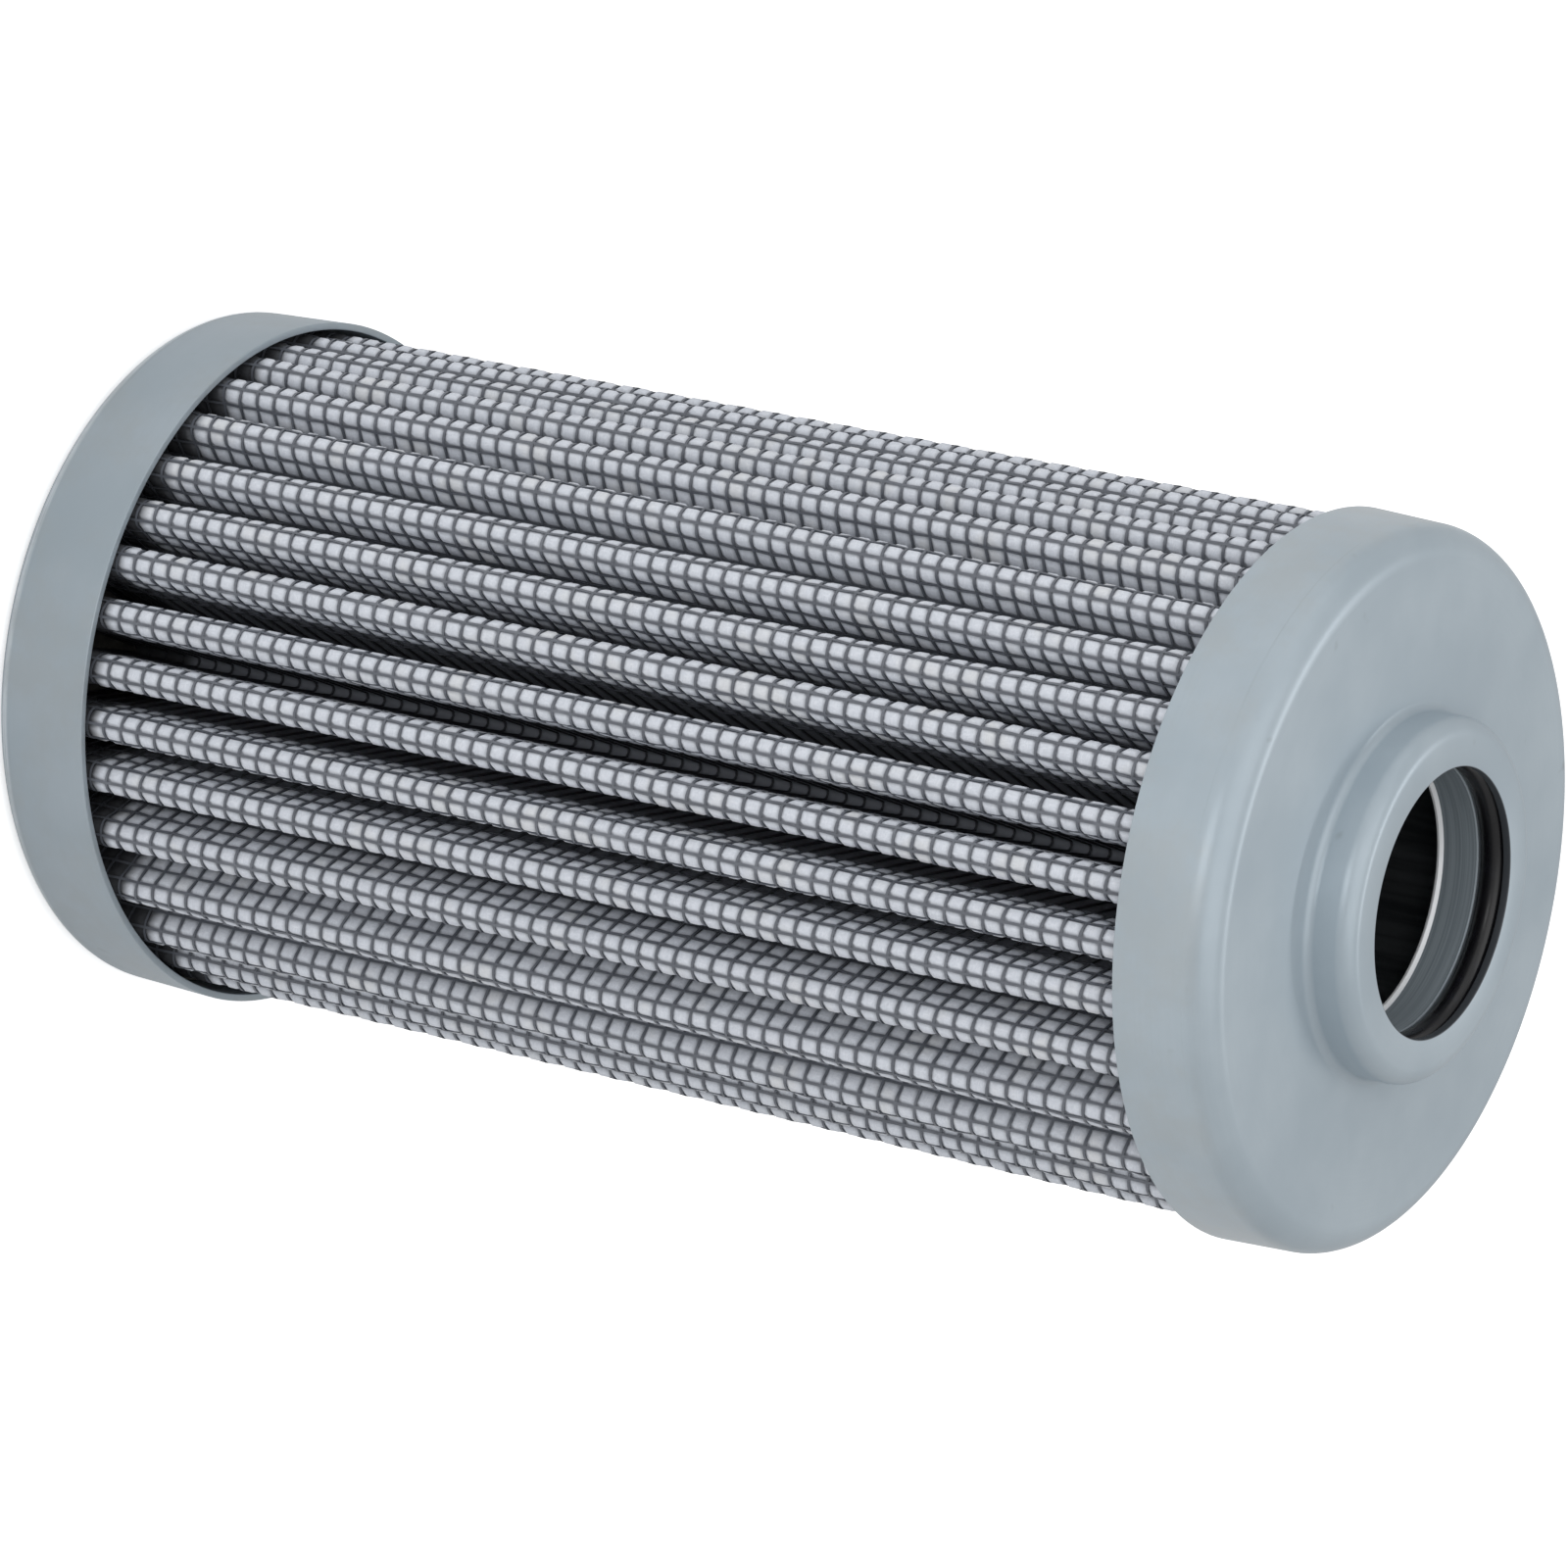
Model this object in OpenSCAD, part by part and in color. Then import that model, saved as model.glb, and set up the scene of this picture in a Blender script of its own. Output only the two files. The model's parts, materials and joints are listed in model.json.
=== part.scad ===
// Hydraulic filter element: a pleated cartridge between a closed and an open steel end cap.
// It stands on the closed cap, with the filter's axis on +Z and the outer face of that cap at z = 0.

/* [Element] */
// Outer diameter of both end caps at their rims
cap_d = 47.5; // [46:0.5:50]
// Length between the outer faces of the two end caps
body_l = 94.8; // [70:0.1:130]

/* [End caps] */
// Thickness of the drawn steel sheet
sheet_t = 0.5; // [0.4:0.05:0.6]
// Height of the open cap's skirt, from its face to its rim
open_skirt = 6.8; // [6:0.1:9]
// Height of the closed cap's skirt, from its face to its rim
closed_skirt = 7.7; // [6:0.1:9]
// Outer radius of the open cap's drawn corner
open_corner_r = 2; // [1.2:0.1:2.4]
// Outer radius of the closed cap's drawn corner
closed_corner_r = 1.4; // [1:0.1:2.4]
// How much wider in radius a skirt is at its rim than at its corner
skirt_flare = 0.2; // [0.05:0.05:0.3]

/* [Hub] */
// Diameter of the bore that slides over the housing's spigot
bore_d = 17.5; // [16.5:0.1:18]
// Height of the hub above the open cap's face
hub_h = 3.2; // [2.8:0.1:4]
// Outer radius of the hub's top edge
hub_corner_r = 1.2; // [0.9:0.1:1.3]
// Radius of the hollow fillet at the hub's foot
hub_root_r = 0.6; // [0.3:0.1:1]

/* [Seal] */
// Thickness of the sealing ring's round section
seal_section = 1.8; // [1.6:0.05:2.1]
// How far the sealing ring stands into the bore
seal_grip = 0.2; // [0.1:0.05:0.2]
// Length of the plain bore behind the sealing ring
guide_l = 3; // [2:0.1:4]
// Wall of the guide ring outside the sealing ring, on which the hub's diameter depends
carrier_wall = 0.9; // [0.7:0.1:1.5]

/* [Core tube] */
// Wall thickness of the perforated core tube
core_wall = 0.6; // [0.4:0.05:0.7]
// Diameter of the holes in the core tube
hole_d = 3; // [2:0.1:3.4]
// Number of holes in each ring of holes
hole_columns = 10; // [8:1:14]
// Distance between one ring of holes and the next
hole_pitch = 7; // [5:0.1:9]

/* [Pleats] */
// Number of pleats
pleats = 36; // [30:1:38]
// Inside radius of the fold at each outer pleat crest
fold_r = 0.25; // [0.15:0.01:0.3]
// Slow sway of the crests, which stand closer and wider apart twice round the pack, in degrees
crest_sway = 3.1; // [0:0.1:3.2]
// Quicker sway of the crests, four times round the pack, in degrees
crest_swing = 1.5; // [0:0.1:1.5]
// Largest further lean of a single crest to one side, in degrees
crest_lean = 0.45; // [0:0.05:0.6]
// Largest drop of a pleat crest below the others
crest_drop = 0.12; // [0:0.01:0.3]
// Thickness of the outer wire cloth, with its warp wires
outer_cloth_t = 0.28; // [0.24:0.01:0.3]
// Thickness of the outer fleece
outer_fleece_t = 0.08; // [0.06:0.01:0.1]
// Thickness of the coarse glass-fibre layer
prefilter_t = 0.12; // [0.08:0.01:0.14]
// Thickness of the fine glass-fibre layer
fine_layer_t = 0.16; // [0.12:0.01:0.18]
// Thickness of the inner fleece
inner_fleece_t = 0.08; // [0.06:0.01:0.1]
// Thickness of the inner wire cloth
inner_cloth_t = 0.2; // [0.16:0.01:0.22]
// Distance between neighbouring wires of the outer cloth, which has 18 to the inch
wire_pitch = 1.411; // [1.2:0.001:1.6]
// Diameter of a coated wire of the outer cloth
wire_d = 0.25; // [0.2:0.01:0.3]

/* [Adhesive] */
// Thickness of the adhesive under the ends of the pleats
glue_floor = 0.8; // [0.5:0.1:1.2]
// Depth to which the ends of the pleats stand in the adhesive
glue_bite = 2.2; // [1.5:0.1:3]

/* [Hidden] */

fit_gap = 0.05;       // clearance between pieces that are pushed together
crest_steps = 8;      // straight pieces in the outer fold of a pleat
valley_steps = 4;     // straight pieces in the inner fold of a pleat
corner_steps = 9;     // straight pieces in a drawn corner's section
round_fn = 128;       // smoothness of round parts
ring_fn = 48;         // smoothness of the sealing ring's section
hole_fn = 32;         // smoothness of the core tube's holes
wire_limit = 78;      // warp wires are raised up to this angle from a crest's top, in degrees
wire_start = 0.38;    // place of a warp wire past the first crest's top, as a share of the spacing
wire_shift = -0.4;    // share of the spacing by which warp wires move from one crest to the next
wire_wander = 0.4;    // largest further move, with wander_step and wander_start as its angles in degrees
wander_step = 80;
wander_start = 220;
wire_count = 3;       // warp wires to look for on each side of a crest's top
wire_top = 0.6;       // half the flat top of a raised wire, as a share of its half width
wire_foot = 1.6;      // half the foot of a raised wire, as the same share
weave_steps = 3;      // straight pieces between two raised wires
seam_angle = 72;      // where the web's two ends stop, in degrees from the seam crest's top
first_crest = 5.9;    // where the first crest would stand without sway and lean, in degrees
sway_waves = 2;       // times that the slow sway repeats round the pack, and where it starts, in degrees
sway_start = 22.9;
swing_waves = 4;      // the same for the quicker sway
swing_start = 93.8;
lean_step = 84;       // turns the lean of each crest away from its neighbour's, in degrees
lean_start = -45;     // angle of the first crest's lean in that rule, in degrees
drop_step = 99;       // turns the drop of each crest away from its neighbour's, in degrees
seam_play = 0.04;     // space on each side of the side seam's glue line
seam_start = 0.25;    // share of the seam pleat's depth that the glue line leaves free inside
fold_clear = 0.1;     // space between neighbouring inner folds

cap_r = cap_d / 2;
face_r = cap_r - skirt_flare;
skirt_inner_r = face_r - sheet_t;
bore_r = bore_d / 2;
hub_top = body_l + hub_h;
lip_z = hub_top - sheet_t;

seal_r = bore_r - seal_grip + seal_section / 2;
seat_r = seal_r + seal_section / 2 + fit_gap;
carrier_r = seat_r + carrier_wall;
carrier_top = lip_z - fit_gap;
hub_r = carrier_r + fit_gap + sheet_t;
seat_z = lip_z - seal_section - 2 * fit_gap;
carrier_z = seat_z - guide_l;
carrier_chamfer = hub_corner_r - sheet_t - 2 * fit_gap;

core_inner_r = carrier_r + fit_gap;
core_r = core_inner_r + core_wall;
core_z = sheet_t;
core_top = body_l - sheet_t;

layer_t = [outer_cloth_t, outer_fleece_t, prefilter_t, fine_layer_t, inner_fleece_t, inner_cloth_t];
// Depth of a layer's outer surface below the outside of the pleat
function depth(k) = k == 0 ? 0 : depth(k - 1) + layer_t[k - 1];
pack_t = depth(len(layer_t));
wire_relief = wire_d / 2;
crest_r = pack_t + fold_r;
pack_r = skirt_inner_r - fit_gap;
half_step = 180 / pleats;
// The inner folds are as open as their ring round the core tube allows
valley_r = ((core_r + fit_gap + pack_t) * sin(half_step) - pack_t - fold_clear / 2) / (1 - sin(half_step));
valley_ring_r = core_r + fit_gap + pack_t + valley_r;
seam_pleat = floor(pleats / 4);

pack_z = sheet_t + glue_floor;
pack_top = body_l - sheet_t - glue_floor;
glue_t = glue_floor + glue_bite;

function polar(r, a) = [r * cos(a), r * sin(a)];
function arc(c, r, a0, a1, n) = [for (k = [0:n]) c + polar(r, a0 + (a1 - a0) * k / n)];
function angle_of(v) = atan2(v[1], v[0]);
function reversed(list) = [for (k = [len(list) - 1:-1:0]) list[k]];

// Places of the folds: each crest leans and drops a little, as a hand-set pack does
function crest_turn(i) =
    let (t = i * 2 * half_step, lean = crest_lean * sin(i % pleats * lean_step + lean_start))
    first_crest + t + crest_sway * cos(sway_waves * t + sway_start)
    + crest_swing * cos(swing_waves * t + swing_start) + lean;
function crest_centre(i) =
    polar(pack_r - crest_r - crest_drop * (1 + sin(i % pleats * drop_step)) / 2, crest_turn(i));
function valley_centre(i) = polar(valley_ring_r, first_crest + (2 * i + 1) * half_step);

// Direction of a flank's normal on the side of crest i that faces valley j, side being 1 or -1
function flank_normal(i, j, side) =
    let (v = valley_centre(j) - crest_centre(i), turn = crest_turn(i) + 180)
    let (off = angle_of(polar(1, angle_of(v) - turn)))
    turn + off - side * acos((crest_r + valley_r) / norm(v)) - (side < 0 ? 360 : 0);

// The warp wires that cross a crest, as angles from its top
function wires(i) =
    let (step = wire_pitch / crest_r * 180 / PI, n = i % pleats)
    let (place = wire_start + wire_shift * n + wire_wander * sin(n * wander_step + wander_start))
    let (phase = place - floor(place))
    [for (m = [-wire_count:wire_count]) let (a = (phase + m) * step) if (abs(a) < wire_limit) a];

// Crest i at depth s, from angle a0 to angle a1. With wires, it rises over each of them.
function crest_points(i, s, a0, a1, raised) =
    let (c = crest_centre(i), turn = crest_turn(i), w = wire_d / 2 / crest_r * 180 / PI)
    let (tops = [
        for (a = raised ? wires(i) : []) if (turn + a - 2 * w > a0 && turn + a + 2 * w < a1) turn + a])
    raised
    ? [for (k = [0:len(tops)])
        each concat(
            arc(c, crest_r - wire_relief, k == 0 ? a0 : tops[k - 1] + wire_foot * w,
                k == len(tops) ? a1 : tops[k] - wire_foot * w, weave_steps),
            k == len(tops) ? []
            : [for (edge = [-wire_top, wire_top]) c + polar(crest_r, tops[k] + edge * w)])]
    : arc(c, crest_r - s, a0, a1, crest_steps);

// The web from one end of the side seam, round all pleats, to the other end, at depth s
function web_points(s, raised = false) =
    let (first = seam_pleat, last = seam_pleat + pleats)
    [for (i = [first:last])
        let (
            a0 = i == first ? crest_turn(i) + seam_angle : flank_normal(i, i - 1, -1),
            a1 = i == last ? crest_turn(i) - seam_angle : flank_normal(i, i, 1))
        each concat(
            crest_points(i, s, i == last ? flank_normal(i, i - 1, -1) : a0, a1, raised),
            i == last ? [] : arc(valley_centre(i), valley_r + s,
                flank_normal(i, i, 1) + 180,
                flank_normal(i + 1, i, -1) + 180, valley_steps))];

module cap_shell(points) {
    rotate_extrude($fn = round_fn) polygon(points);
}

// The skirt leans out from the corner to the rim, and its outer and inner walls are parallel
module closed_end_cap() {
    r = closed_corner_r;
    c = [face_r - r, r];
    color([0.60, 0.66, 0.69]) cap_shell(concat(
        [[0, 0]], arc(c, r, -90, 0, corner_steps), [[cap_r, closed_skirt], [cap_r - sheet_t, closed_skirt]],
        arc(c, r - sheet_t, 0, -90, corner_steps), [[0, sheet_t]]));
}

module open_end_cap() {
    corner = [face_r - open_corner_r, body_l - open_corner_r];
    root = [hub_r + hub_root_r, body_l + hub_root_r];
    brow = [hub_r - hub_corner_r, hub_top - hub_corner_r];
    rim_z = body_l - open_skirt;
    color([0.62, 0.68, 0.71]) cap_shell(concat(
        [[bore_r, hub_top]], arc(brow, hub_corner_r, 90, 0, corner_steps),
        arc(root, hub_root_r, 180, 270, corner_steps),
        arc(corner, open_corner_r, 90, 0, corner_steps), [[cap_r, rim_z], [cap_r - sheet_t, rim_z]],
        arc(corner, open_corner_r - sheet_t, 0, 90, corner_steps),
        arc(root, hub_root_r + sheet_t, 270, 180, corner_steps),
        arc(brow, hub_corner_r - sheet_t, 0, 90, corner_steps), [[bore_r, lip_z]]));
}

// Turned ring that is pressed into the hub: the seat of the sealing ring, then the guiding bore
module seal_carrier() {
    color([0.50, 0.55, 0.58]) rotate_extrude($fn = round_fn) polygon([
        [bore_r, carrier_z], [carrier_r, carrier_z], [carrier_r, carrier_top - carrier_chamfer],
        [carrier_r - carrier_chamfer, carrier_top], [seat_r, carrier_top], [seat_r, seat_z],
        [bore_r, seat_z]]);
}

module sealing_ring() {
    color([0.08, 0.08, 0.09]) rotate_extrude($fn = round_fn)
        translate([seal_r, lip_z - fit_gap - seal_section / 2]) circle(d = seal_section, $fn = ring_fn);
}

// Perforated tube, with every second ring of holes turned by half a step
module core_tube() {
    length = core_top - core_z;
    rings = floor((length - 2 * (glue_t + hole_d)) / hole_pitch) + 1;
    first_z = (core_z + core_top - (rings - 1) * hole_pitch) / 2;
    color([0.55, 0.58, 0.60]) difference() {
        translate([0, 0, core_z]) cylinder(h = length, r = core_r, $fn = round_fn);
        translate([0, 0, core_z - 1]) cylinder(h = length + 2, r = core_inner_r, $fn = round_fn);
        for (k = [0:rings - 1], c = [0:hole_columns - 1])
            rotate([0, 0, (c + (k % 2) / 2) * 360 / hole_columns])
                translate([core_r - 3 * core_wall, 0, first_z + k * hole_pitch])
                    rotate([0, 90, 0]) cylinder(h = 4 * core_wall, d = hole_d, $fn = hole_fn);
    }
}

module pleated_layer(k) {
    points = concat(web_points(depth(k), k == 0), reversed(web_points(depth(k + 1))));
    translate([0, 0, pack_z]) linear_extrude(pack_top - pack_z) polygon(points);
}

module outer_wire_cloth() {
    color([0.35, 0.37, 0.40]) pleated_layer(0);
}

module outer_fleece() {
    color([0.86, 0.87, 0.89]) pleated_layer(1);
}

module prefilter_layer() {
    color([0.93, 0.93, 0.90]) pleated_layer(2);
}

module fine_filter_layer() {
    color([0.97, 0.97, 0.95]) pleated_layer(3);
}

module inner_fleece() {
    color([0.88, 0.88, 0.86]) pleated_layer(4);
}

module inner_wire_cloth() {
    color([0.45, 0.46, 0.48]) pleated_layer(5);
}

// Glue between the web's two ends: a line inside the seam pleat, and a bead that closes its crest
module seam_section() {
    neck = polar(valley_ring_r, first_crest + seam_pleat * 2 * half_step);
    top = crest_centre(seam_pleat);
    turn = crest_turn(seam_pleat);
    foot = neck + seam_start * (top - neck);
    side = polar(1, angle_of(top - neck) + 90);
    top_w = fold_r - seam_play;
    foot_w = fold_clear / 2 + seam_start * (fold_r - fold_clear / 2) - seam_play;
    polygon(concat(
        [foot - foot_w * side, top + polar(top_w, turn - seam_angle)],
        arc(top, crest_r, turn - seam_angle, turn + seam_angle, crest_steps),
        [top + polar(top_w, turn + seam_angle), foot + foot_w * side]));
}

module side_seam_strip() {
    color([0.30, 0.29, 0.28]) translate([0, 0, pack_z]) linear_extrude(pack_top - pack_z) seam_section();
}

// Adhesive in a cap: a floor under the pleats, and a bed that the ends of the pleats stand in
module adhesive(corner_r) {
    r = corner_r - sheet_t;
    outer_r = skirt_inner_r - fit_gap / 2;
    difference() {
        rotate_extrude($fn = round_fn) polygon(concat(
            [[core_r, 0]], arc([outer_r - r, r], r, -90, 0, corner_steps),
            [[outer_r, glue_floor + glue_bite], [core_r, glue_floor + glue_bite]]));
        translate([0, 0, glue_floor]) linear_extrude(2 * glue_bite) {
            polygon(concat(web_points(0, true), reversed(web_points(pack_t))));
            seam_section();
        }
    }
}

module closed_end_adhesive() {
    color([0.30, 0.29, 0.28]) translate([0, 0, sheet_t]) adhesive(closed_corner_r);
}

module open_end_adhesive() {
    color([0.30, 0.29, 0.28]) translate([0, 0, body_l - sheet_t]) mirror([0, 0, 1]) adhesive(open_corner_r);
}

closed_end_cap();
open_end_cap();
seal_carrier();
sealing_ring();
core_tube();
outer_wire_cloth();
outer_fleece();
prefilter_layer();
fine_filter_layer();
inner_fleece();
inner_wire_cloth();
side_seam_strip();
closed_end_adhesive();
open_end_adhesive();
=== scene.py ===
"""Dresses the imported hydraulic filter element: drawn caps, woven wire, swelling fleece, seal and core."""
import json
import logging
import math
from dataclasses import dataclass, field
from enum import Enum
from typing import Any, Callable, Union

import bpy
import numpy as np
from mathutils import Euler, Matrix, Vector

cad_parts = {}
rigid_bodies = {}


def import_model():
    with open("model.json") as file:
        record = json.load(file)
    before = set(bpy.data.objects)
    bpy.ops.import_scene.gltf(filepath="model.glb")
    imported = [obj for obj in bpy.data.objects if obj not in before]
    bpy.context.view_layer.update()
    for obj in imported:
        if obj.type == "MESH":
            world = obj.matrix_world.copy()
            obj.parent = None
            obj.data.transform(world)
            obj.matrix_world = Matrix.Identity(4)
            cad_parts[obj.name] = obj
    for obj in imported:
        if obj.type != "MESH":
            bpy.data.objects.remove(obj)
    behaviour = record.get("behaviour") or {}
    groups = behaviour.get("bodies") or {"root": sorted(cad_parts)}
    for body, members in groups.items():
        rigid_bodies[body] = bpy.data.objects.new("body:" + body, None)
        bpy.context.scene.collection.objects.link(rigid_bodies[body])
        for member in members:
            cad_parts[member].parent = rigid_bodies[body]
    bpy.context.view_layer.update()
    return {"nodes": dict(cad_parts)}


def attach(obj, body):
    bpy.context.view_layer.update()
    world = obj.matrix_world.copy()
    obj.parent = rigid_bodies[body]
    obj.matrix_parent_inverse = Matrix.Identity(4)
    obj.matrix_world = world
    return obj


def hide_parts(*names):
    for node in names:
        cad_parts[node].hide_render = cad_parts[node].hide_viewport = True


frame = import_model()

LOG = logging.getLogger("filter_element")
MM = 0.001
WELD_REACH = 0.0005  # vertices closer than this are joined, in millimetres
FOLD_R, CREST_R = 16.5, 21.2  # radii in millimetres between which the painted shade deep in the pleats fades out
NO_BORE = -1.0  # radius of the cut lip of a cap without a bore
Number = Union[int, float]
Points = np.ndarray


class Slot(Enum):
    """The material slots of the new pieces."""

    ZINC = "zinc_steel"
    TURNED = "turned_steel"
    RUBBER = "seal_rubber"
    WIRE = "coated_wire"
    FLEECE = "fleece"


class Signal:
    """A socket's value in a shader, on which Python's operators build Math nodes."""

    def __init__(self, shader: "Shader", socket: bpy.types.NodeSocket) -> None:
        """Wraps one output socket of a shader."""
        self.shader = shader
        self.socket = socket

    def maths(self, operation: str, *others: Union["Signal", Number], clamp: bool = False) -> "Signal":
        """Joins this value with others through one Math node.

        Args:
            operation: The node's operation.
            others: Signals or numbers for the further inputs.
            clamp: Whether the result is held between 0 and 1.

        Returns:
            The node's result.
        """
        settings = {"operation": operation, "use_clamp": clamp}
        return self.shader.node("ShaderNodeMath", settings, dict(enumerate((self, *others))))

    def __add__(self, other: Union["Signal", Number]) -> "Signal":
        """Adds a value."""
        return self.maths("ADD", other)

    __radd__ = __add__

    def __sub__(self, other: Union["Signal", Number]) -> "Signal":
        """Takes a value away."""
        return self.maths("SUBTRACT", other)

    def __rsub__(self, other: Union["Signal", Number]) -> "Signal":
        """Takes this value away from another."""
        return self * -1.0 + other

    def __mul__(self, other: Union["Signal", Number]) -> "Signal":
        """Multiplies by a value."""
        return self.maths("MULTIPLY", other)

    def __truediv__(self, other: Union["Signal", Number]) -> "Signal":
        """Divides by a value."""
        return self.maths("DIVIDE", other)

    def power(self, exponent: Number) -> "Signal":
        """Raises to a power."""
        return self.maths("POWER", exponent)

    def clamped(self) -> "Signal":
        """This value, held between 0 and 1."""
        return self.maths("ADD", 0.0, clamp=True)

    def largest(self, other: Union["Signal", Number]) -> "Signal":
        """The larger of this value and another."""
        return self.maths("MAXIMUM", other)

    def between(self, low: Number, high: Number) -> "Signal":
        """A soft step from 0 at low to 1 at high."""
        values = {"Value": self, "From Min": low, "From Max": high}
        return self.shader.node("ShaderNodeMapRange", {"interpolation_type": "SMOOTHSTEP"}, values)

    def near_zero(self, width: Number) -> "Signal":
        """1 where this value is 0, falling to 0 at a width on either side."""
        share = self / width
        return 1.0 - (share * share).clamped()


class Shader:
    """Builds one procedural material on a Principled surface."""

    def __init__(self, name: str) -> None:
        """Starts an empty material with a surface and an output.

        Args:
            name: The material's name.
        """
        self.material = bpy.data.materials.new(name)
        self.material.use_nodes = True
        self.tree = self.material.node_tree
        self.tree.nodes.clear()
        self.output = self.tree.nodes.new("ShaderNodeOutputMaterial")
        self.surface = self.tree.nodes.new("ShaderNodeBsdfPrincipled")
        self.tree.links.new(self.surface.outputs[0], self.output.inputs["Surface"])

    def feed(self, socket: bpy.types.NodeSocket, value: Any) -> None:
        """Links a signal to a socket, or writes a constant on it.

        Args:
            socket: The input socket.
            value: A signal or a constant.
        """
        if isinstance(value, Signal):
            self.tree.links.new(value.socket, socket)
        else:
            socket.default_value = value

    def node(self, kind: str, settings: dict[str, Any], values: dict[Any, Any], output: Any = 0) -> Signal:
        """Adds one node.

        Args:
            kind: The node's type.
            settings: Properties of the node, set first.
            values: Constants or signals by the input's name or number.
            output: The output's name or number.

        Returns:
            The node's output as a signal.
        """
        node = self.tree.nodes.new(kind)
        for name, value in settings.items():
            setattr(node, name, value)
        for place, value in values.items():
            self.feed(node.inputs[place], value)
        return Signal(self, node.outputs[output])

    def place(self) -> Signal:
        """The point on the object, in metres."""
        return self.node("ShaderNodeTexCoord", {}, {}, "Object")

    def parts(self) -> tuple[Signal, Signal, Signal]:
        """Splits the point on the object.

        Returns:
            Its three coordinates in millimetres.
        """
        split = self.node("ShaderNodeSeparateXYZ", {}, {0: self.place()}).socket.node
        x, y, z = (Signal(self, socket) / MM for socket in split.outputs)
        return x, y, z

    def from_axis(self) -> Signal:
        """The distance from the axis, in millimetres."""
        x, y, _ = self.parts()
        return (x * x + y * y).power(0.5)

    def height(self) -> Signal:
        """The height above the closed end, in millimetres."""
        return self.parts()[2]

    def out_of_fold_shade(self) -> Signal:
        """0 in the depth of the pleats and 1 near their crests: the mask of the painted shade in the folds.
        """
        return self.from_axis().between(FOLD_R, CREST_R)

    def marked(self, name: str) -> Signal:
        """The number that a piece carries on its vertices."""
        return self.node("ShaderNodeAttribute", {"attribute_name": name}, {}, "Fac")

    def stretched(self, scale: tuple[float, float, float]) -> Signal:
        """The point on the object, scaled along each axis."""
        return self.node("ShaderNodeMapping", {}, {"Vector": self.place(), "Scale": scale})

    def round_place(self, round_scale: float, along_scale: float, out_scale: float) -> Signal:
        """The point unrolled round the axis.

        Args:
            round_scale: Scale of the turn, in radians.
            along_scale: Scale of the height.
            out_scale: Scale of the distance from the axis.

        Returns:
            The three scaled values as a vector.
        """
        x, y, z = self.parts()
        turn = x.maths("ARCTAN2", y)
        radius = (x * x + y * y).power(0.5)
        values = {"X": turn * round_scale, "Y": z * along_scale, "Z": radius * out_scale}
        return self.node("ShaderNodeCombineXYZ", {}, values)

    def noise(self, vector: Signal, scale: float, detail: float, roughness: float) -> Signal:
        """Fractal noise from 0 to 1."""
        values = {"Vector": vector, "Scale": scale, "Detail": detail, "Roughness": roughness}
        return self.node("ShaderNodeTexNoise", {}, values, "Fac")

    def blend(self, factor: Union[Signal, float], first: Any, second: Any) -> Signal:
        """A colour between two colours.

        Args:
            factor: 0 for the first colour, 1 for the second.
            first: A colour or a signal.
            second: A colour or a signal.

        Returns:
            The mixed colour.
        """
        first_place, second_place, result = 6, 7, 2  # the Mix node's colour sockets
        values = {0: factor, first_place: first, second_place: second}
        return self.node("ShaderNodeMix", {"data_type": "RGBA"}, values, result)

    def bump(self, height: Signal, strength: float, distance: float) -> Signal:
        """A normal that follows a height in metres times distance."""
        values = {"Height": height, "Strength": strength, "Distance": distance}
        return self.node("ShaderNodeBump", {}, values)

    def dress(self, **values: Any) -> bpy.types.Material:
        """Sets the surface's sockets.

        Args:
            values: Constants or signals by the socket's name, in small letters with underscores.

        Returns:
            The finished material.
        """
        for name, value in values.items():
            self.feed(self.surface.inputs[name.replace("_", " ").title()], value)
        return self.material


def colour(red: float, green: float, blue: float) -> tuple[float, float, float, float]:
    """A linear colour from values as they are seen on screen.

    Args:
        red: Red from 0 to 255.
        green: Green from 0 to 255.
        blue: Blue from 0 to 255.

    Returns:
        The linear colour, with an alpha of 1.
    """
    def linear(value: float) -> float:
        """One channel's linear value."""
        share = value / 255
        return share / 12.92 if share <= 0.04045 else ((share + 0.055) / 1.055) ** 2.4
    return (linear(red), linear(green), linear(blue), 1.0)


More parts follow.
